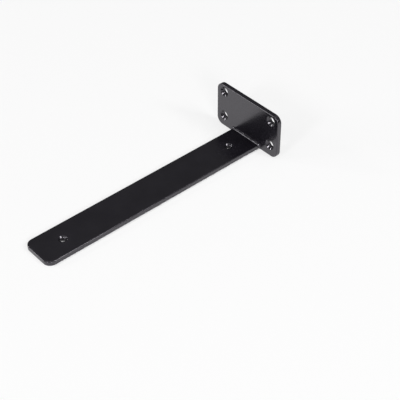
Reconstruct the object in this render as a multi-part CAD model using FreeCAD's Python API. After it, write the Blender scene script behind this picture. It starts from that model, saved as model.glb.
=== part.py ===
"""Floating shelf bracket: a flat steel arm welded square to a four-hole wall plate.

Frame: +Z is up, +X runs across the bracket and +Y goes into the wall. The plane Y = 0 is the wall face,
and the origin is the centre of the plate's four screw holes on that face. All sizes are millimetres.
"""
import FreeCAD, Part
import math
import os

Vector = FreeCAD.Vector

# Wall plate
plate_width = 87.5
plate_height = 50.0
plate_thickness = 5.0
plate_corner_radius = 8.0

# Shelf arm, measured from the wall face to its tip
arm_width = 38.0
arm_thickness = 5.0
arm_reach = 263.5
arm_corner_radius = 8.0

# Softened edges of both pieces
edge_round = 0.8

# Plate screw holes, countersunk from the front
plate_bore = 7.0
plate_countersink = 11.0
plate_hole_side_margin = 10.3
plate_hole_top_margin = 7.9
plate_hole_arm_margin = 7.9

# Arm screw holes, countersunk from above
arm_bore = 5.5
arm_countersink = 8.5
arm_hole_wall_distance = 29.5
arm_hole_tip_distance = 29.5

countersink_angle = 90.0

# Fillet weld in the inner corner, with a slightly hollow face and rounded ends
weld_leg = 2.0
weld_hollow = 0.3
weld_end_round = 0.5

# How far a cutting tool stands past the face that it starts from
tool_overrun = 1.0

# Heights of the faces, worked out from the hole rows so that the pattern's centre is at Z = 0
row_spacing = plate_height - arm_thickness - plate_hole_arm_margin - plate_hole_top_margin
column_spacing = plate_width - 2 * plate_hole_side_margin
plate_top = row_spacing / 2 + plate_hole_top_margin
underside = plate_top - plate_height
arm_top = underside + arm_thickness
plate_front = -plate_thickness
arm_tip = -arm_reach

# Share of a slanted length that runs along each axis at 45 degrees
diagonal = math.sqrt(0.5)

# Distance within which two places count as one
same_place = 1e-4


def edges_in_plane(shape, axis, position):
    """Edges of shape that lie in the plane at position along axis, which is X, Y or Z."""
    found = []
    for edge in shape.Edges:
        box = edge.BoundBox
        low = getattr(box, axis + "Min")
        high = getattr(box, axis + "Max")
        if abs(low - position) < same_place and abs(high - position) < same_place:
            found.append(edge)
    return found


def edges_along(shape, axis):
    """Straight edges of shape that run along axis, which is X, Y or Z."""
    found = []
    for edge in shape.Edges:
        run = edge.Vertexes[-1].Point - edge.Vertexes[0].Point
        if abs(abs(getattr(run, axis.lower())) - run.Length) < same_place:
            found.append(edge)
    return found


def countersunk_cutter(mouth, direction, thickness, bore, head):
    """Tool for a screw hole that starts at mouth and goes along direction through thickness."""
    slope = math.tan(math.radians(countersink_angle / 2))
    bore_radius = bore / 2
    head_radius = head / 2
    seat_depth = (head_radius - bore_radius) / slope
    profile = [
        Vector(0, 0, -tool_overrun),
        Vector(head_radius + tool_overrun * slope, 0, -tool_overrun),
        Vector(bore_radius, 0, seat_depth),
        Vector(bore_radius, 0, thickness + tool_overrun),
        Vector(0, 0, thickness + tool_overrun),
    ]
    face = Part.Face(Part.makePolygon(profile + profile[:1]))
    cutter = face.revolve(Vector(), Vector(0, 0, 1), 360)
    cutter.Placement = FreeCAD.Placement(mouth, FreeCAD.Rotation(Vector(0, 0, 1), direction))
    return cutter


def make_wall_plate():
    """Plate with rounded corners, softened edges and four countersunk holes."""
    corner = Vector(-plate_width / 2, plate_front, underside)
    plate = Part.makeBox(plate_width, plate_thickness, plate_height, corner)
    plate = plate.makeFillet(plate_corner_radius, edges_along(plate, "Y"))
    outlines = edges_in_plane(plate, "Y", plate_front) + edges_in_plane(plate, "Y", 0)
    plate = plate.makeFillet(edge_round, outlines)

    # The lower front edge stays square under the arm, so that the joint is flush below
    land_width = arm_width - 2 * edge_round
    land_corner = Vector(-land_width / 2, plate_front, underside)
    plate = plate.fuse(Part.makeBox(land_width, edge_round, edge_round, land_corner))

    for side in (-1, 1):
        for row in (-1, 1):
            mouth = Vector(side * column_spacing / 2, plate_front, row * row_spacing / 2)
            inward = Vector(0, 1, 0)
            cutter = countersunk_cutter(mouth, inward, plate_thickness, plate_bore, plate_countersink)
            plate = plate.cut(cutter)
    return plate.removeSplitter()


def make_shelf_arm():
    """Flat bar butted against the plate, with a rounded tip and two holes countersunk from above."""
    length = plate_front - arm_tip
    arm = Part.makeBox(arm_width, length, arm_thickness, Vector(-arm_width / 2, arm_tip, underside))
    tip_corners = []
    for edge in edges_along(arm, "Z"):
        if abs(edge.BoundBox.YMin - arm_tip) < same_place:
            tip_corners.append(edge)
    arm = arm.makeFillet(arm_corner_radius, tip_corners)

    butt_end = edges_in_plane(arm, "Y", plate_front)
    softened = []
    for edge in edges_in_plane(arm, "Z", underside) + edges_in_plane(arm, "Z", arm_top):
        if not any(edge.isSame(square) for square in butt_end):
            softened.append(edge)
    arm = arm.makeFillet(edge_round, softened)

    for place in (-arm_hole_wall_distance, arm_tip + arm_hole_tip_distance):
        mouth = Vector(0, place, arm_top)
        downward = Vector(0, 0, -1)
        cutter = countersunk_cutter(mouth, downward, arm_thickness, arm_bore, arm_countersink)
        arm = arm.cut(cutter)
    return arm


def make_weld_bead():
    """Slightly hollow fillet carried up one side of the arm, over its top and down the other side."""
    half = arm_width / 2
    inner = half - edge_round
    shoulder = arm_top - edge_round
    foot = underside + edge_round
    bend = edge_round * diagonal

    def at(x, z):
        return Vector(x, plate_front, z)

    path = Part.Wire([
        Part.makeLine(at(half, foot), at(half, shoulder)),
        Part.Arc(at(half, shoulder), at(inner + bend, shoulder + bend), at(inner, arm_top)).toShape(),
        Part.makeLine(at(inner, arm_top), at(-inner, arm_top)),
        Part.Arc(at(-inner, arm_top), at(-inner - bend, shoulder + bend), at(-half, shoulder)).toShape(),
        Part.makeLine(at(-half, shoulder), at(-half, foot)),
    ])
    root = at(half, foot)
    arm_toe = root + Vector(0, -weld_leg, 0)
    plate_toe = root + Vector(weld_leg, 0, 0)
    middle = weld_leg / 2 - weld_hollow * diagonal
    profile = Part.Wire([
        Part.makeLine(root, arm_toe),
        Part.Arc(arm_toe, root + Vector(middle, -middle, 0), plate_toe).toShape(),
        Part.makeLine(plate_toe, root),
    ])
    bead = path.makePipeShell([profile], True, False)
    ends = [edge for edge in edges_in_plane(bead, "Z", foot) if edge.Curve.TypeId != "Part::GeomLine"]
    return bead.makeFillet(weld_end_round, ends)


os.makedirs("parts", exist_ok=True)
for name, shape in {
    "wall_plate": make_wall_plate(),
    "shelf_arm": make_shelf_arm(),
    "weld_bead": make_weld_bead(),
}.items():
    piece = shape.Solids[0]
    piece.exportStep("parts/" + name + ".step")
    print(name, len(shape.Solids), "solid, valid", piece.isValid(), "volume", round(piece.Volume, 1))
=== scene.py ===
"""Looks of a floating shelf bracket: a wall plate, a flat arm and the weld between them, in black coat.

Lengths in the pieces' classes are millimetres, in the part's own frame: +Z up, +Y into the wall, the wall
face at Y = 0 and the origin at the centre of the plate's screw holes. Meshes and the studio are in metres.
"""
import logging
import math
from collections.abc import Callable
from dataclasses import dataclass
from enum import Enum

import bmesh
import bpy
import numpy as np
from mathutils import Matrix, Vector


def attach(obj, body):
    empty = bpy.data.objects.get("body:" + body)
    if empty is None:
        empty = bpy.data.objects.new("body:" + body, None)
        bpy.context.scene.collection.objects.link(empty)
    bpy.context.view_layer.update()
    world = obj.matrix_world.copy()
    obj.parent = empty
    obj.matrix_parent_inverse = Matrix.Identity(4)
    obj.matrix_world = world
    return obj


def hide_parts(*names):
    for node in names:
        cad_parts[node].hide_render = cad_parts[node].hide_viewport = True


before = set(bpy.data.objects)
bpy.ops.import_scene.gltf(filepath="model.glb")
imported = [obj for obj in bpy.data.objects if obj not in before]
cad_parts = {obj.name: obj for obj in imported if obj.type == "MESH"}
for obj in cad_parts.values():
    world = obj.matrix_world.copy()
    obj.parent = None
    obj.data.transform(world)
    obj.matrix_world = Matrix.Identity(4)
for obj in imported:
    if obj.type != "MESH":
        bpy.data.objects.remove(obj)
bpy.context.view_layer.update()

Array = np.ndarray
Point = tuple[float, float]
Color = tuple[float, float, float]
BorderLine = tuple[Array, Array | Point]
Given = dict[str | int, object]

MM = 0.001
JOIN_DISTANCE = 1e-4
SHARP_ANGLE = math.radians(38)
ROOT_BODY = "root"

# Spans in the quarter round of a softened edge, and how close to it the flat side has a row of points
EDGE_SPANS = 8
EDGE_BRACE = 0.25

# Shares of the way from a hole to the border at which a flat face has its rows of points
FACE_SHARES = np.array([0.0, 0.12, 0.35, 0.65, 0.9, 1.0])[:, None, None]

# Outward directions along a border: out of an edge, or none on a line within the piece
RIGHTWARD = (1.0, 0.0)
UPWARD = (0.0, 1.0)
TIPWARD = (0.0, -1.0)
INSIDE = (0.0, 0.0)

log = logging.getLogger("shelf_bracket")


def rounded_line(corners: Array, radii: Array, steps: int) -> Array:
    """Line through corner points, with each inner corner rounded.

    A corner gives way to the arc of its radius that touches both of its lines. The arc starts radius times
    the tangent of half the turn before the corner, and its points turn evenly about a centre square to the
    line there.

    Args:
        corners: (n, 2) corner points, with both ends.
        radii: n - 2 radii, one for each inner corner.
        steps: spans in each arc.

    Returns:
        (m, 2) points along the rounded line.
    """
    runs = np.diff(corners, axis=0)
    runs = runs / np.linalg.norm(runs, axis=1, keepdims=True)
    into, out = runs[:-1], runs[1:]
    turn = np.arctan2(into[:, 0] * out[:, 1] - into[:, 1] * out[:, 0], np.sum(into * out, axis=1))
    start = corners[1:-1] - into * (radii * np.tan(np.abs(turn) / 2))[:, None]
    spoke = np.stack([into[:, 1], -into[:, 0]], axis=1) * (np.sign(turn) * radii)[:, None]
    centre = start - spoke
    angle = turn[:, None] * np.linspace(0, 1, steps + 1)
    x = centre[:, :1] + spoke[:, :1] * np.cos(angle) - spoke[:, 1:] * np.sin(angle)
    y = centre[:, 1:] + spoke[:, :1] * np.sin(angle) + spoke[:, 1:] * np.cos(angle)
    arcs = np.stack([x, y], axis=-1).reshape(-1, 2)
    return np.concatenate([corners[:1], arcs, corners[-1:]])


def even_rays(centre: Array, start: Point, end: Point, count: int) -> Array:
    """Points where evenly turned rays from a centre cross a straight line.

    A ray is centre + length * direction, with length = (start - centre) x run / (direction x run), where run
    goes from start to end and x is the flat cross product.

    Args:
        centre: (2,) where the rays come from.
        start: first point of the line, which the first ray meets.
        end: last point of the line, which is left to the next line.
        count: number of rays.

    Returns:
        (count, 2) points from start towards end.
    """
    first = np.array(start) - centre
    last = np.array(end) - centre
    run = last - first
    sweep = np.arctan2(first[0] * last[1] - first[1] * last[0], first @ last)
    angle = np.arctan2(first[1], first[0]) + sweep * np.arange(count) / count
    direction = np.stack([np.cos(angle), np.sin(angle)], axis=1)
    over = first[0] * run[1] - first[1] * run[0]
    length = over / (direction[:, 0] * run[1] - direction[:, 1] * run[0])
    return centre + length[:, None] * direction


def even_points(start: Point, end: Point, count: int) -> Array:
    """Count evenly spaced points from start towards end, which is left to the next line."""
    return np.array(start) + (np.array(end) - np.array(start)) * (np.arange(count) / count)[:, None]


def smooth_step(share: Array) -> Array:
    """Rise from 0 to 1 with level ends: 3 t^2 - 2 t^3, where t is the share held between 0 and 1."""
    t = np.clip(share, 0, 1)
    return t * t * (3 - 2 * t)


def edge_section(head_inset: Array, far_inset: Array, thickness: float) -> tuple[Array, Array]:
    """Section of a rounded edge: a quarter round at each face and a flat side between them.

    Where a quarter round of radius r has turned by angle a, it stands r (1 - sin a) in from the side and
    r (1 - cos a) below the face. The flat side has a row close to each round, which keeps its shading flat.

    Args:
        head_inset: (n,) radius at the face where depth is 0, for each place along the edge.
        far_inset: (n,) radius at the other face.
        thickness: of the steel.

    Returns:
        (rows, n) distance in from the side and (rows, n) depth.
    """
    angle = np.linspace(0, math.pi / 2, EDGE_SPANS + 1)[:, None]
    inset = [
        head_inset * (1 - np.sin(angle)),
        [0 * head_inset, 0 * far_inset],
        (far_inset * (1 - np.sin(angle)))[::-1],
    ]
    depth = [
        head_inset * (1 - np.cos(angle)),
        [head_inset + EDGE_BRACE, thickness - far_inset - EDGE_BRACE],
        (thickness - far_inset * (1 - np.cos(angle)))[::-1],
    ]
    return np.concatenate(inset), np.concatenate(depth)


def corner_arc(centre: Array, radius: float, first: float, last: float, count: int) -> tuple[Array, Array]:
    """Round corner of a border: centre + radius * (cos a, sin a), for even angles a from first towards last.

    Args:
        centre: (2,) centre of the corner.
        radius: of the border there.
        first: angle of the first point, in degrees.
        last: angle that the next line starts at, in degrees.
        count: number of points.

    Returns:
        (count, 2) points, and their (count, 2) outward directions.
    """
    angle = np.radians(first + (last - first) * np.arange(count) / count)
    outward = np.stack([np.cos(angle), np.sin(angle)], axis=1)
    return centre + radius * outward, outward


def border_of(lines: list[BorderLine]) -> tuple[Array, Array]:
    """Puts border lines end to end.

    Args:
        lines: the points of each line with its outward direction, or one direction for each point.

    Returns:
        (n, 2) points and (n, 2) outward directions.
    """
    points = np.concatenate([line for line, _ in lines])
    outward = np.concatenate([np.broadcast_to(direction, line.shape) for line, direction in lines])
    return points, outward


class Shell:
    """Closed surface made of patches, each a grid of points that meets its neighbours point for point."""

    def __init__(self) -> None:
        """Starts with no patches."""
        self.patches: list[tuple[Array, bool]] = []

    def add(self, points: Array, wrap: bool = False) -> None:
        """Adds a patch.

        Args:
            points: (rows, columns, 3) points in millimetres.
            wrap: whether the last column joins the first.
        """
        self.patches.append((points, wrap))

    def joined(self) -> tuple[Array, list[list[int]]]:
        """Joins the patches where their points coincide.

        Returns:
            (n, 3) points in millimetres, and the faces as lists of point numbers. A grid cell with two
            corners at one point is a triangle, and any other has four corners.
        """
        grids, cells, used = [], [], 0
        for points, wrap in self.patches:
            number = used + np.arange(points.shape[0] * points.shape[1]).reshape(points.shape[:2])
            used += number.size
            if wrap:
                number = np.concatenate([number, number[:, :1]], axis=1)
            corners = [number[:-1, :-1], number[:-1, 1:], number[1:, 1:], number[1:, :-1]]
            cells.append(np.stack(corners, axis=-1).reshape(-1, 4))
            grids.append(points.reshape(-1, 3))
        every = np.concatenate(grids)
        places = np.round(every / JOIN_DISTANCE).astype(np.int64)
        _, first, merged = np.unique(places, axis=0, return_index=True, return_inverse=True)
        quads = merged.reshape(-1)[np.concatenate(cells)]
        apart = quads != np.roll(quads, -1, axis=1)
        corner_count = apart.sum(axis=1)
        bent = corner_count == 3
        triangles = quads[bent][apart[bent]].reshape(-1, 3)
        return every[first], quads[corner_count == 4].tolist() + triangles.tolist()

    def piece(self, name: str) -> bpy.types.Object:
        """Makes the surface an object at the origin, smooth but for its sharp edges, with faces outwards.

        Args:
            name: the piece's name.

        Returns:
            The new object, linked to the scene.
        """
        points, faces = self.joined()
        mesh = bpy.data.meshes.new(name)
        mesh.from_pydata(points * MM, [], faces)
        work = bmesh.new()
        work.from_mesh(mesh)
        bmesh.ops.recalc_face_normals(work, faces=work.faces)
        work.to_mesh(mesh)
        work.free()
        mesh.shade_smooth()
        mesh.set_sharp_from_angle(angle=SHARP_ANGLE)
        piece = bpy.data.objects.new(name, mesh)
        bpy.context.scene.collection.objects.link(piece)
        return piece


@dataclass(frozen=True)
class ScrewHole:
    """A countersunk screw hole, measured along its axis from the face that takes the screw's head.

    Attributes:
        bore: diameter of the straight part.
        head: diameter of the 45 degree seat at the face.
        far_round: radius of the edge at the other face.
        mouth_round: radius of the edge between the face and the seat.
        seat_round: radius of the edge between the seat and the bore.
        ring: width of the flat ring round each mouth that belongs to the hole.
        steps: spans in each rounded edge.
    """

    bore: float
    head: float
    far_round: float
    mouth_round: float = 0.25
    seat_round: float = 0.4
    ring: float = 0.45
    steps: int = 6

    def lining(self, thickness: float) -> Array:
        """Half section of the hole's wall, with a narrow flat ring round each mouth.

        The line runs in along the head's face, down the 45 degree seat, along the bore and out along the far
        face, with its three corners rounded.

        Args:
            thickness: of the steel round the hole.

        Returns:
            (n, 2) radius and depth, from the head's side to the far side.
        """
        head, bore = self.head / 2, self.bore / 2
        corners = np.array([
            (head + self.ring, 0.0),
            (head, 0.0),
            (bore, head - bore),
            (bore, thickness),
            (bore + self.far_round + self.ring, thickness),
        ])
        radii = np.array([self.mouth_round, self.seat_round, self.far_round])
        return rounded_line(corners, radii, self.steps)


@dataclass(frozen=True)
class HoleStretch:
    """The stretch of a flat piece round one hole, bounded by edges of the piece and by lines within it.

    Attributes:
        centre: (2,) the hole's centre, in the plane of the piece.
        border: (n, 2) border of the flat face in order round the hole, with every edge fully rounded.
        outward: (n, 2) direction out of the piece at an edge, and nothing on a line within it.
        head_inset: (n,) radius of the edge at the face with the screws' heads.
        far_inset: radius of the edge at the other face.
        closed: whether the border goes all the way round the hole.
    """

    centre: Array
    border: Array
    outward: Array
    head_inset: Array
    far_inset: float
    closed: bool

    @property
    def edge(self) -> slice:
        """The border points on the piece's edge, which follow one another and have an outward direction."""
        found = np.flatnonzero(np.any(self.outward != 0, axis=1))
        return slice(found[0], found[-1] + 1)

    def fill(self, shell: Shell, hole: ScrewHole, thickness: float, place: Callable[[Array], Array]) -> None:
        """Adds the hole's wall, both flat faces and the rounded edge to a shell.

        The wall is the hole's half section turned about its axis, with radius and depth from the section and
        the angle from the border point. A flat face is ruled from the section's end to the border, as
        end + share * (border - end). The edge is the edge section carried along the border.

        Args:
            shell: takes the patches.
            hole: the hole at the centre.
            thickness: of the piece.
            place: turns a grid of (across, along, depth) into places in the part's frame.
        """
        spoke = self.border - self.centre
        spoke = spoke / np.linalg.norm(spoke, axis=1, keepdims=True)
        section = hole.lining(thickness)
        wall = self.centre + section[:, :1, None] * spoke
        depth = np.broadcast_to(section[:, 1:, None], wall.shape[:2] + (1,))
        shell.add(place(np.concatenate([wall, depth], axis=-1)), self.closed)

        opened = self.border + self.outward * (self.far_inset - self.head_inset)[:, None]
        for (radius, level), border in ((section[0], opened), (section[-1], self.border)):
            start = self.centre + radius * spoke
            flat = start + FACE_SHARES * (border - start)
            depth = np.full(flat.shape[:2] + (1,), level)
            shell.add(place(np.concatenate([flat, depth], axis=-1)), self.closed)

        head_inset = self.head_inset[self.edge]
        inset, depth = edge_section(head_inset, np.full_like(head_inset, self.far_inset), thickness)
        side = self.border[self.edge] + self.outward[self.edge] * (self.far_inset - inset)[..., None]
        shell.add(place(np.concatenate([side, depth[..., None]], axis=-1)))


@dataclass
class CoatedPiece:
    """What the pieces share: a name, the solid that each stands for, and how a piece is dressed."""

    name: str
    node: str

    def dress(self, piece: bpy.types.Object, coat: bpy.types.Material) -> bpy.types.Object:
        """Gives the piece its coat and its place on the part.

        Args:
            piece: the built object.
            coat: its material.

        Returns:
            The same object.
        """
        piece.data.materials.append(coat)
        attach(piece, ROOT_BODY)
        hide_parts(self.node)
        return piece


@dataclass
class WallPlate(CoatedPiece):
    """The plate that is screwed to the wall, with a countersunk hole near each corner.

    The fields whose names end in points are numbers of points along lines of a quarter's border.
    """

    name: str = "wall_plate_coated"
    node: str = "wall_plate"
    width: float = 87.5
    thickness: float = 5.0
    top: float = 22.5
    underside: float = -27.5
    corner_radius: float = 8.0
    edge_round: float = 0.8
    joint_round: float = 0.05
    joint_half_width: float = 19.0
    column_spacing: float = 66.9
    row_spacing: float = 29.2
    hole: ScrewHole = ScrewHole(bore=7.0, head=11.0, far_round=0.35)
    side_points: int = 16
    corner_points: int = 18
    edge_points: int = 14
    joint_points: int = 8
    upright_points: int = 10
    level_points: int = 26

    def quarter(self, height: float, joint: bool) -> HoleStretch:
        """One quarter of the plate, from its middle lines out, laid out as the upper right one.

        Args:
            height: of the plate's edge above the middle of the hole pattern.
            joint: whether the arm meets this edge, which stays square in front there for a flush joint.

        Returns:
            The quarter round its hole.
        """
        r = self.edge_round
        centre = np.array((self.column_spacing / 2, self.row_spacing / 2))
        side = self.width / 2 - r
        upper = height - r
        bend = np.array((self.width / 2 - self.corner_radius, height - self.corner_radius))
        arc, arc_outward = corner_arc(bend, self.corner_radius - r, 0, 90, self.corner_points)
        joint_end = self.joint_half_width
        border, outward = border_of([
            (even_rays(centre, (side, 0.0), (side, bend[1]), self.side_points), RIGHTWARD),
            (arc, arc_outward),
            (even_rays(centre, (bend[0], upper), (joint_end, upper), self.edge_points), UPWARD),
            (even_rays(centre, (joint_end, upper), (joint_end - r, upper), self.joint_points), UPWARD),
            (even_rays(centre, (joint_end - r, upper), (0.0, upper), self.edge_points), UPWARD),
            (np.array([(0.0, upper)]), UPWARD),
            (even_points((0.0, upper), (0.0, 0.0), self.upright_points)[1:], INSIDE),
            (even_points((0.0, 0.0), (side, 0.0), self.level_points), INSIDE),
        ])
        inset = np.full(len(border), r)
        if joint:
            opened = smooth_step((border[:, 0] - (joint_end - r)) / r)
            squared = self.joint_round + (r - self.joint_round) * opened
            inset = np.where(outward[:, 1] == 1.0, squared, inset)
        return HoleStretch(centre, border, outward, inset, r, closed=True)

    def build(self) -> bpy.types.Object:
        """Joins the four quarters, each mirrored to its own side.

        Returns:
            The plate.
        """
        shell = Shell()
        for up, height in ((1, self.top), (-1, -self.underside)):
            quarter = self.quarter(height, joint=up < 0)
            for across in (1, -1):

                def place(grid: Array, across: int = across, up: int = up) -> Array:
                    """Turns (across, along, depth) of a quarter into places on the plate."""
                    x, z, depth = np.moveaxis(grid, -1, 0)
                    return np.stack([across * x, depth - self.thickness, up * z], axis=-1)

                quarter.fill(shell, self.hole, self.thickness, place)
        return shell.piece(self.name)


@dataclass
class ShelfArm(CoatedPiece):
    """The flat bar that carries the shelf, with a rounded tip and two holes countersunk from above.

    The fields whose names end in points are numbers of points along lines of a stretch's border.
    """

    name: str = "shelf_arm_coated"
    node: str = "shelf_arm"
    width: float = 38.0
    thickness: float = 5.0
    top: float = -22.5
    tip: float = -263.5
    butt: float = -5.0
    corner_radius: float = 8.0
    edge_round: float = 0.8
    tip_hole: float = -234.0
    wall_hole: float = -29.5
    hole: ScrewHole = ScrewHole(bore=5.5, head=8.5, far_round=0.35)
    tip_points: int = 7
    corner_points: int = 18
    side_points: int = 30
    across_points: int = 12
    bar_rows: int = 22

    @property
    def inner(self) -> float:
        """Half the width of the flat between the rounded edges."""
        return self.width / 2 - self.edge_round

    @property
    def bar_start(self) -> float:
        """Where the plain bar begins, as far behind the tip's hole as the tip is in front of it."""
        return 2 * self.tip_hole - self.tip

    @property
    def bar_end(self) -> float:
        """Where the plain bar ends, as far in front of the wall's hole as the butt end is behind it."""
        return 2 * self.wall_hole - self.butt

    def half_stretch(self, centre: Array, lines: list[BorderLine]) -> HoleStretch:
        """Half of the arm round one hole, from its middle line to its right side.

        Args:
            centre: (2,) centre of the hole.
            lines: border lines with their outward directions, from the middle line round to the middle line.

        Returns:
            The half stretch.
        """
        border, outward = border_of(lines)
        inset = np.full(len(border), self.edge_round)
        return HoleStretch(centre, border, outward, inset, self.edge_round, closed=False)

    def tip_stretch(self) -> HoleStretch:
        """Half the arm round the tip's hole: half the tip, its corner, the side and a line across the bar.

        Returns:
            The half stretch.
        """
        r = self.edge_round
        start = self.bar_start
        centre = np.array((0.0, self.tip_hole))
        bend = np.array((self.width / 2 - self.corner_radius, self.tip + self.corner_radius))
        arc, arc_outward = corner_arc(bend, self.corner_radius - r, -90, 0, self.corner_points)
        return self.half_stretch(centre, [
            (even_rays(centre, (0.0, self.tip + r), (bend[0], self.tip + r), self.tip_points), TIPWARD),
            (arc, arc_outward),
            (even_rays(centre, (self.inner, bend[1]), (self.inner, start), self.side_points), RIGHTWARD),
            (np.array([(self.inner, start)]), RIGHTWARD),
            (even_points((self.inner, start), (0.0, start), self.across_points)[1:], INSIDE),
            (np.array([(0.0, start)]), INSIDE),
        ])

    def wall_stretch(self) -> HoleStretch:
        """Half the arm round the wall's hole: a line across the bar, the side and half of the butt end.

        Returns:
            The half stretch.
        """
        end = self.bar_end
        centre = np.array((0.0, self.wall_hole))
        return self.half_stretch(centre, [
            (even_points((0.0, end), (self.inner, end), self.across_points), INSIDE),
            (even_rays(centre, (self.inner, end), (self.inner, self.butt), self.side_points), RIGHTWARD),
            (np.array([(self.inner, self.butt)]), RIGHTWARD),
            (even_points((self.inner, self.butt), (0.0, self.butt), self.across_points)[1:], INSIDE),
            (np.array([(0.0, self.butt)]), INSIDE),
        ])

    def half_section(self) -> tuple[Array, Array, Array]:
        """Half of the bar's section: even places across the flat, and the rounded edge beside it.

        Returns:
            Places across the flat, then places across the edge and their depths.
        """
        radius = np.full(1, self.edge_round)
        inset, depth = edge_section(radius, radius, self.thickness)
        level = np.linspace(0, self.inner, self.across_points + 1)
        return level, self.width / 2 - inset[:, 0], depth[:, 0]

    def half_bar(self) -> Array:
        """The plain bar from its middle line to its right side: its half section carried along the arm.

        Returns:
            Grid of (across, along, depth), with a row for each place along the arm.
        """
        level, side, depth = self.half_section()
        across = np.concatenate([level[:-1], side, level[-2::-1]])
        above = np.zeros(self.across_points)
        height = np.concatenate([above, depth, above + self.thickness])
        along = np.linspace(self.bar_start, self.bar_end, self.bar_rows)[:, None]
        return np.stack(np.broadcast_arrays(across, along, height), axis=-1)

    def half_butt(self) -> Array:
        """Half of the butt end: level rows at the edge's depths, from the middle line out to its outline.

        Returns:
            Grid of (across, along, depth).
        """
        level, side, depth = self.half_section()
        flat = np.broadcast_to(level, (len(side), len(level)))
        across = np.concatenate([flat, side[:, None]], axis=1)
        return np.stack(np.broadcast_arrays(across, self.butt, depth[:, None]), axis=-1)

    def build(self) -> bpy.types.Object:
        """Joins both hole stretches, the plain bar between them and the butt end, on both sides.

        Returns:
            The arm.
        """
        shell = Shell()
        for side in (1, -1):

            def place(grid: Array, side: int = side) -> Array:
                """Turns (across, along, depth) of the right half into places on the arm."""
                return np.stack([side * grid[..., 0], grid[..., 1], self.top - grid[..., 2]], axis=-1)

            for stretch in (self.tip_stretch(), self.wall_stretch()):
                stretch.fill(shell, self.hole, self.thickness, place)
            shell.add(place(self.half_bar()))
            shell.add(place(self.half_butt()))
        return shell.piece(self.name)


@dataclass
class WeldBead(CoatedPiece):
    """The fillet weld in the inner corner, up one side of the arm, over its top and down the other side.

    Attributes:
        front: the plate's front face, along Y.
        half_width: half the arm's width.
        arm_top: height of the arm's top.
        foot: height of the weld's ends.
        bend: radius of the arm's edge, which the weld follows.
        leg: length of the weld's foot on the arm and on the plate.
        crown: height of the face's middle above a flat face.
        end_round: radius of the rounded ends.
        ripple_pitch: distance from one ripple to the next.
        ripple_depth: depth of the ripples.
        ripple_bow: lag of a ripple in legs, for each squared share of the face from its middle.
        wander: waves in the legs' length, each as a share of a leg, a span in millimetres and a start.
        rows: places along the weld between its rounded ends.
        end_rows: places along each rounded end.
        face_columns: points across the face.
    """

    name: str = "weld_bead_coated"
    node: str = "weld_bead"
    front: float = -5.0
    half_width: float = 19.0
    arm_top: float = -22.5
    foot: float = -26.7
    bend: float = 0.8
    leg: float = 1.7
    crown: float = 0.075
    end_round: float = 0.5
    ripple_pitch: float = 1.9
    ripple_depth: float = 0.021
    ripple_bow: float = 2.8
    wander: tuple[tuple[float, float, float], ...] = ((0.035, 3.1, 0.0), (0.0235, 1.27, 1.0))
    rows: int = 420
    end_rows: int = 8
    face_columns: int = 13

    def path(self) -> tuple[Array, Array, Array]:
        """The line that the weld's root follows round the arm's section.

        It goes straight up the right side, round the edge's quarter round, straight across the top and down
        the other side in the same way. Places along it are spaced evenly by length, and closer at the ends.

        Returns:
            (rows,) length from the start, (rows, 2) places across and up, and (rows, 2) outward directions.
        """
        inner = self.half_width - self.bend
        shoulder = self.arm_top - self.bend
        rise = shoulder - self.foot
        quarter = math.pi / 2 * self.bend
        stops = np.cumsum([0.0, rise, quarter, 2 * inner, quarter, rise])
        close = self.end_round * (1 - np.cos(np.linspace(0, math.pi / 2, self.end_rows + 1)[:-1]))
        middle = np.linspace(self.end_round, stops[-1] - self.end_round, self.rows)
        length = np.concatenate([close, middle, stops[-1] - close[::-1]])
        turn = np.interp(length, stops, np.radians([0, 0, 90, 90, 180, 180]))
        outward = np.stack([np.cos(turn), np.sin(turn)], axis=1)
        across = np.interp(length, stops, [inner, inner, inner, -inner, -inner, -inner])
        height = np.interp(length, stops, [self.foot, shoulder, shoulder, shoulder, shoulder, self.foot])
        return length, np.stack([across, height], axis=1) + self.bend * outward, outward

    def build(self) -> bpy.types.Object:
        """Carries the weld's section along its path.

        The section is a right triangle with its corner at the root and equal legs on the arm and the plate.
        Its face is a shallow crown, crown * 4 t (1 - t) high at share t of the way across, less crescent
        ripples: ripple depth * cos(2 pi (s - lag) / pitch), where s is the length along the path and lag is
        bow * leg * (t - 1/2)^2. The legs wander by a few hundredths of their length, and near an end they
        shrink along a quarter round.

        Returns:
            The bead.
        """
        length, root, outward = self.path()
        near_end = np.minimum(length, length[-1] - length)
        short = np.clip(self.end_round - near_end, 0, self.end_round)
        drop = self.end_round - np.sqrt(self.end_round ** 2 - short ** 2)
        wander = sum(share * np.sin(length / span + start) for share, span, start in self.wander)
        leg = (self.leg * (1 + wander) - 2 * drop)[:, None]
        t = np.linspace(0, 1, self.face_columns)[None, :]
        lag = self.ripple_bow * self.leg * (t - 0.5) ** 2
        ripple = self.ripple_depth * np.cos(2 * math.pi * (length[:, None] - lag) / self.ripple_pitch)
        belly = 4 * t * (1 - t)
        sink = (ripple - self.crown) * belly * math.sqrt(0.5) * leg / self.leg
        rooted = np.zeros_like(leg)
        on_plate = np.concatenate([rooted, leg * t - sink], axis=1)
        on_arm = np.concatenate([rooted, leg * (1 - t) - sink], axis=1)
        place = root[:, None, :] + outward[:, None, :] * on_plate[..., None]
        points = np.stack([place[..., 0], self.front - on_arm, place[..., 1]], axis=-1)
        shell = Shell()
        shell.add(points, wrap=True)
        for row in (points[0], points[-1]):
            shell.add(np.stack([np.broadcast_to(row[0], row[1:].shape), row[1:]]))
        return shell.piece(self.name)


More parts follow.
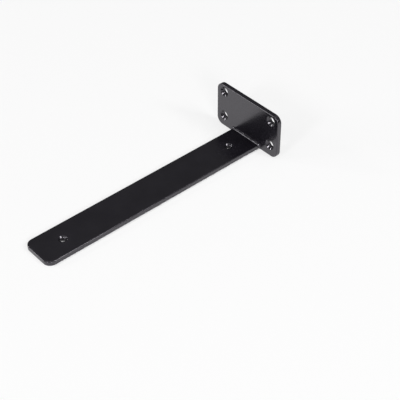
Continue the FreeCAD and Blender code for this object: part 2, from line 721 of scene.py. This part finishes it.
class NodeTree:
    """Short words for adding the nodes of a material, a group or a room."""

    def __init__(self, tree: bpy.types.NodeTree) -> None:
        """Takes the tree that the nodes go into."""
        self.tree = tree

    def give(self, end: bpy.types.NodeSocket, value: object) -> None:
        """Feeds an input.

        Args:
            end: the input.
            value: an output to link to it, or a plain value to set it to.
        """
        if isinstance(value, bpy.types.NodeSocket):
            self.tree.links.new(value, end)
        else:
            end.default_value = value

    def node(self, kind: str, given: Given | None = None, **settings: object) -> bpy.types.Node:
        """Adds a node.

        Args:
            kind: the node's type, without its ShaderNode prefix.
            given: its inputs by name or number, each with an output to link or a value to set.
            settings: its own settings by attribute name.

        Returns:
            The new node.
        """
        made = self.tree.nodes.new(kind if kind.startswith("Node") else "ShaderNode" + kind)
        for name, setting in settings.items():
            setattr(made, name, setting)
        for slot, value in (given or {}).items():
            self.give(made.inputs[slot], value)
        return made

    def maths(self, operation: str, *values: object) -> bpy.types.NodeSocket:
        """Adds a maths node with its inputs in order, and returns its output."""
        return self.node("Math", dict(enumerate(values)), operation=operation).outputs[0]


@dataclass(frozen=True)
class CoatSkin:
    """Skin of a cured powder coat, as a node group that the coats share.

    Attributes:
        peel_detail: levels of detail in the orange peel, whose scale each coat gives.
        grain_scale: waves of grain in a metre.
        grain_detail: levels of detail in the grain.
        cloud_scale: waves of cloud in a metre.
        cloud_detail: levels of detail in the cloud.
        grain_in_height: how much of the grain is added to the peel.
        grain_in_tone: how much of the grain is added to the cloud.
        darkest: sum of cloud and grain at which the tone is darkest.
        lightest: sum of cloud and grain at which the tone is lightest.
    """

    peel_detail: float = 1.5
    grain_scale: float = 5200.0
    grain_detail: float = 2.0
    cloud_scale: float = 45.0
    cloud_detail: float = 3.0
    grain_in_height: float = 0.15
    grain_in_tone: float = 0.35
    darkest: float = 0.45
    lightest: float = 0.9

    def build(self) -> bpy.types.ShaderNodeTree:
        """Makes the group.

        Peel is a noise of about a millimetre, grain a much finer one, and cloud a slow one of a few
        centimetres. Height is peel plus a share of grain. Tone and roughness go between two values with
        cloud and grain.

        Returns:
            The group, with inputs Vector, Peel Scale, Dark, Light, Smooth and Rough, and outputs Color,
            Roughness and Height.
        """
        group = bpy.data.node_groups.new("coat_skin", "ShaderNodeTree")
        sockets = [
            ("Vector", "INPUT", "NodeSocketVector"),
            ("Peel Scale", "INPUT", "NodeSocketFloat"),
            ("Dark", "INPUT", "NodeSocketColor"),
            ("Light", "INPUT", "NodeSocketColor"),
            ("Smooth", "INPUT", "NodeSocketFloat"),
            ("Rough", "INPUT", "NodeSocketFloat"),
            ("Color", "OUTPUT", "NodeSocketColor"),
            ("Roughness", "OUTPUT", "NodeSocketFloat"),
            ("Height", "OUTPUT", "NodeSocketFloat"),
        ]
        for name, side, kind in sockets:
            group.interface.new_socket(name=name, in_out=side, socket_type=kind)
        tree = NodeTree(group)
        given = tree.node("NodeGroupInput").outputs

        def noise(scale: object, detail: float) -> bpy.types.NodeSocket:
            """Adds a noise over the given vector, and returns its value."""
            values = {"Vector": given["Vector"], "Scale": scale, "Detail": detail}
            return tree.node("TexNoise", values).outputs["Fac"]

        peel = noise(given["Peel Scale"], self.peel_detail)
        grain = noise(self.grain_scale, self.grain_detail)
        cloud = noise(self.cloud_scale, self.cloud_detail)
        height = tree.maths("MULTIPLY_ADD", grain, self.grain_in_height, peel)
        mottle = tree.maths("MULTIPLY_ADD", grain, self.grain_in_tone, cloud)
        limits = {"Value": mottle, "From Min": self.darkest, "From Max": self.lightest}
        share = tree.node("MapRange", limits, interpolation_type="SMOOTHSTEP").outputs["Result"]
        tone = tree.node("Mix", {"Factor": share, "A": given["Dark"], "B": given["Light"]}, data_type="RGBA")
        gloss = tree.node("MapRange", {"Value": share, "To Min": given["Smooth"], "To Max": given["Rough"]})
        results = {"Color": tone.outputs["Result"], "Roughness": gloss.outputs["Result"], "Height": height}
        tree.node("NodeGroupOutput", results)
        return group


@dataclass(frozen=True)
class PowderCoat:
    """Black semi-gloss powder coat, with the faint orange peel that it cures to.

    Attributes:
        name: the material's name.
        dark: darkest tone.
        light: lightest tone.
        smooth: lowest roughness.
        rough: highest roughness.
        peel_scale: waves of orange peel in a metre.
        peel_height: height of the peel in metres.
        index: refractive index of the resin.
        sheen: faint tint of what it reflects.
    """

    name: str
    dark: Color = (0.0042, 0.0037, 0.0058)
    light: Color = (0.0056, 0.0050, 0.0076)
    smooth: float = 0.19
    rough: float = 0.24
    peel_scale: float = 650.0
    peel_height: float = 0.000012
    index: float = 1.75
    sheen: Color = (0.96, 0.92, 1.0)

    def material(self, skin: bpy.types.ShaderNodeTree) -> bpy.types.Material:
        """Makes the material.

        Args:
            skin: the group that draws the coat's skin.

        Returns:
            A material that reads object coordinates.
        """
        material = bpy.data.materials.new(self.name)
        material.use_nodes = True
        tree = NodeTree(material.node_tree)
        values = {
            "Vector": tree.node("TexCoord").outputs["Object"],
            "Peel Scale": self.peel_scale,
            "Dark": (*self.dark, 1),
            "Light": (*self.light, 1),
            "Smooth": self.smooth,
            "Rough": self.rough,
        }
        coat = tree.node("Group", values, node_tree=skin).outputs
        relief = {"Strength": 1.0, "Distance": self.peel_height, "Height": coat["Height"]}
        bump = tree.node("Bump", relief).outputs
        shader = material.node_tree.nodes["Principled BSDF"].inputs
        tree.give(shader["Base Color"], coat["Color"])
        tree.give(shader["Roughness"], coat["Roughness"])
        tree.give(shader["Normal"], bump["Normal"])
        tree.give(shader["IOR"], self.index)
        tree.give(shader["Specular Tint"], (*self.sheen, 1))
        return material


class Finish(Enum):
    """The coat on the flat bar, and the coat on the weld with its finer peel."""

    BAR = PowderCoat("powder_coat_on_bar")
    WELD = PowderCoat("powder_coat_on_weld", smooth=0.17, rough=0.22, peel_scale=900.0)


@dataclass(frozen=True)
class SoftBox:
    """A rectangular lamp, placed as seen from the bracket.

    Attributes:
        azimuth: degrees to the right of the way to the camera.
        elevation: degrees above the floor.
        width: in metres.
        height: in metres.
        radiance: brightness of its face, where 1 is a white surface.
        distance: from the bracket, in metres.
    """

    azimuth: float
    elevation: float
    width: float
    height: float
    radiance: float
    distance: float = 4.5


class Lamp(Enum):
    """The studio's lamps, which draw the bright lines and spots on the edges, the holes and the weld."""

    RIGHT = SoftBox(63, 37, 0.8, 1.6, 15.0)
    UPPER_RIGHT = SoftBox(50, 43, 0.5, 0.7, 20.0)
    FRONT = SoftBox(14, 26, 1.0, 1.0, 20.0)
    LEFT = SoftBox(-36, 30, 0.75, 0.75, 34.0)
    FAR_LEFT = SoftBox(-86, 14, 1.1, 2.0, 5.4)
    FAR_LEFT_SMALL = SoftBox(-106, 24, 0.4, 0.4, 40.0)


@dataclass(frozen=True)
class Viewpoint:
    """The camera: where it aims, in millimetres, how far away it is and how it is turned, in degrees."""

    aim: tuple[float, float, float] = (38.709, -101.811, -27.5)
    distance: float = 995.44
    turn: float = 48.888
    pitch: float = 41.008
    roll: float = -0.470
    lens: float = 94.018
    sensor: float = 36.0

    @property
    def ahead(self) -> Vector:
        """Direction of view: turned to the left of +Y and pitched down."""
        turn, pitch = math.radians(self.turn), math.radians(self.pitch)
        level = math.cos(pitch)
        return Vector((-math.sin(turn) * level, math.cos(turn) * level, -math.sin(pitch)))

    @property
    def right(self) -> Vector:
        """Level direction to the right of the view."""
        turn = math.radians(self.turn)
        return Vector((math.cos(turn), math.sin(turn), 0))

    def build(self) -> bpy.types.Object:
        """Makes the scene's camera: its right and up axes are rolled about the direction of view.

        Returns:
            The camera.
        """
        roll = math.radians(self.roll)
        up = self.right.cross(self.ahead)
        right = math.cos(roll) * self.right + math.sin(roll) * up
        up = right.cross(self.ahead)
        place = Matrix((right, up, -self.ahead)).transposed().to_4x4()
        place.translation = MM * (Vector(self.aim) - self.distance * self.ahead)
        data = bpy.data.cameras.new("camera")
        data.sensor_width = self.sensor
        data.lens = self.lens
        camera = bpy.data.objects.new("camera", data)
        camera.matrix_world = place
        bpy.context.scene.collection.objects.link(camera)
        bpy.context.scene.camera = camera
        return camera


@dataclass
class Studio:
    """A plain pale floor, soft lamps and a dim room with a bright ceiling.

    Attributes:
        view: the camera.
        middle: the place that the lamps face, on the floor under the arm.
        floor_size: side of the floor's square.
        floor_drop: how far the floor is below the arm's underside.
        floor_color: colour of its paint.
        floor_roughness: roughness of its paint.
        floor_white: how far the paint gives way to white where it is seen.
        covered_middle: middle of the ground that the arm covers, where the floor's white is left out as
            painted shade.
        covered_half: half the size of that ground, along X and Y.
        covered_fade: distance from it over which the white sets in, leaving a painted contact shadow beside
            the arm.
        room: brightness of the room low down.
        ceiling: brightness overhead.
        ceiling_start: elevation at which the room begins to brighten, in degrees.
        ceiling_end: elevation at which it is brightest, in degrees.
    """

    view: Viewpoint
    middle: tuple[float, float, float] = (0.0, -0.13, -0.0275)
    floor_size: float = 40.0
    floor_drop: float = 0.00005
    floor_color: Color = (0.9, 0.9, 0.9)
    floor_roughness: float = 0.9
    floor_white: float = 0.7
    # Ground under the arm where the floor's white glow is left out, fading in beside it: painted shade under
    # the arm and a painted contact shadow along its outline.
    covered_middle: Point = (0.0, -0.13025)
    covered_half: Point = (0.0182, 0.12525)
    covered_fade: float = 0.003
    room: float = 0.13
    ceiling: float = 0.87
    ceiling_start: float = 42.0
    ceiling_end: float = 80.0

    def lamp(self, name: str, box: SoftBox) -> bpy.types.Object:
        """Makes one lamp, facing the bracket.

        Args:
            name: the lamp's name.
            box: where it stands and how bright it is.

        Returns:
            The new lamp.
        """
        turn, rise = math.radians(box.azimuth), math.radians(box.elevation)
        toward = -Vector((self.view.ahead.x, self.view.ahead.y, 0)).normalized()
        level = math.cos(turn) * toward + math.sin(turn) * self.view.right
        offset = math.cos(rise) * level + math.sin(rise) * Vector((0, 0, 1))
        data = bpy.data.lights.new(name, "AREA")
        data.shape = "RECTANGLE"
        data.size = box.width
        data.size_y = box.height
        data.energy = box.radiance * math.pi * box.width * box.height
        lamp = bpy.data.objects.new(name, data)
        lamp.location = Vector(self.middle) + box.distance * offset
        lamp.rotation_euler = (-offset).to_track_quat("-Z", "Y").to_euler()
        bpy.context.scene.collection.objects.link(lamp)
        return lamp

    def floor_paint(self) -> bpy.types.Material:
        """Makes a paint that keeps the shadows but reads nearly white.

        Where it is seen, by the camera or in a reflection, the paint gives way to white by a share. The
        share is nothing under the arm, so that the arm's holes look into the dark, and it rises smoothly to
        its full value over the fade beside the arm. This is painted shade: the withheld white leaves a dark
        patch under the arm and a soft contact shadow along its outline. Their depth comes from the paint's
        real shading there, and their shape comes from the share.

        Returns:
            The material.
        """
        material = bpy.data.materials.new("floor_paint")
        material.use_nodes = True
        tree = NodeTree(material.node_tree)
        paint = material.node_tree.nodes["Principled BSDF"]
        tree.give(paint.inputs["Base Color"], (*self.floor_color, 1))
        tree.give(paint.inputs["Roughness"], self.floor_roughness)
        tree.give(paint.inputs["Specular IOR Level"], 0.0)

        places = tree.node("SeparateXYZ", {0: tree.node("TexCoord").outputs["Object"]}).outputs
        beyond = []
        for place, middle, half in zip(places, self.covered_middle, self.covered_half):
            reach = tree.maths("ABSOLUTE", tree.maths("SUBTRACT", place, middle))
            beyond.append(tree.maths("SUBTRACT", reach, half))
        # Painted shade and contact shadow: the white is left out over the arm's footprint and fades in
        # beside it.
        clearance = tree.maths("MAXIMUM", *beyond)
        limits = {"Value": clearance, "From Max": self.covered_fade, "To Max": self.floor_white}
        white = tree.node("MapRange", limits, interpolation_type="SMOOTHSTEP").outputs["Result"]

        path = tree.node("LightPath").outputs
        seen = tree.maths("MAXIMUM", path["Is Camera Ray"], path["Is Glossy Ray"])
        seen = tree.maths("MAXIMUM", seen, path["Is Transmission Ray"])
        share = tree.maths("MULTIPLY", seen, white)
        glow = tree.node("Emission", {"Strength": 1.0})
        mix = tree.node("MixShader", {0: share, 1: paint.outputs[0], 2: glow.outputs[0]})
        tree.give(material.node_tree.nodes["Material Output"].inputs["Surface"], mix.outputs[0])
        return material

    def floor(self) -> bpy.types.Object:
        """Makes the floor, a level square.

        Returns:
            The floor.
        """
        half = self.floor_size / 2
        level = self.middle[2] - self.floor_drop
        corners = [(-half, -half, level), (half, -half, level), (half, half, level), (-half, half, level)]
        mesh = bpy.data.meshes.new("floor")
        mesh.from_pydata(corners, [], [(0, 1, 2, 3)])
        mesh.materials.append(self.floor_paint())
        floor = bpy.data.objects.new("floor", mesh)
        bpy.context.scene.collection.objects.link(floor)
        return floor

    def world(self) -> None:
        """Makes the room: dim low down, rising smoothly to a bright ceiling between two elevations."""
        world = bpy.data.worlds.new("room")
        bpy.context.scene.world = world
        world.use_nodes = True
        tree = NodeTree(world.node_tree)
        direction = tree.node("SeparateXYZ", {0: tree.node("TexCoord").outputs["Generated"]}).outputs
        limits = {
            "Value": direction["Z"],
            "From Min": math.sin(math.radians(self.ceiling_start)),
            "From Max": math.sin(math.radians(self.ceiling_end)),
            "To Min": self.room,
            "To Max": self.ceiling,
        }
        rise = tree.node("MapRange", limits, interpolation_type="SMOOTHSTEP").outputs["Result"]
        light = world.node_tree.nodes["Background"].inputs
        tree.give(light["Color"], (1, 1, 1, 1))
        tree.give(light["Strength"], rise)

    def build(self) -> None:
        """Makes the camera, the floor, the room and the lamps, and sets the plain view transform."""
        self.view.build()
        self.floor()
        self.world()
        for lamp in Lamp:
            self.lamp(lamp.name.lower() + "_lamp", lamp.value)
        bpy.context.scene.view_settings.view_transform = "Standard"


def main() -> None:
    """Builds and dresses each piece, then makes the studio."""
    skin = CoatSkin().build()
    bar_coat = Finish.BAR.value.material(skin)
    weld_coat = Finish.WELD.value.material(skin)
    for part, coat in ((WallPlate(), bar_coat), (ShelfArm(), bar_coat), (WeldBead(), weld_coat)):
        piece = part.dress(part.build(), coat)
        log.info("%s: %d faces, stands for %s", piece.name, len(piece.data.polygons), part.node)
    Studio(Viewpoint()).build()


if __name__ == "__main__":
    logging.basicConfig(level=logging.INFO, format="%(message)s")
    main()
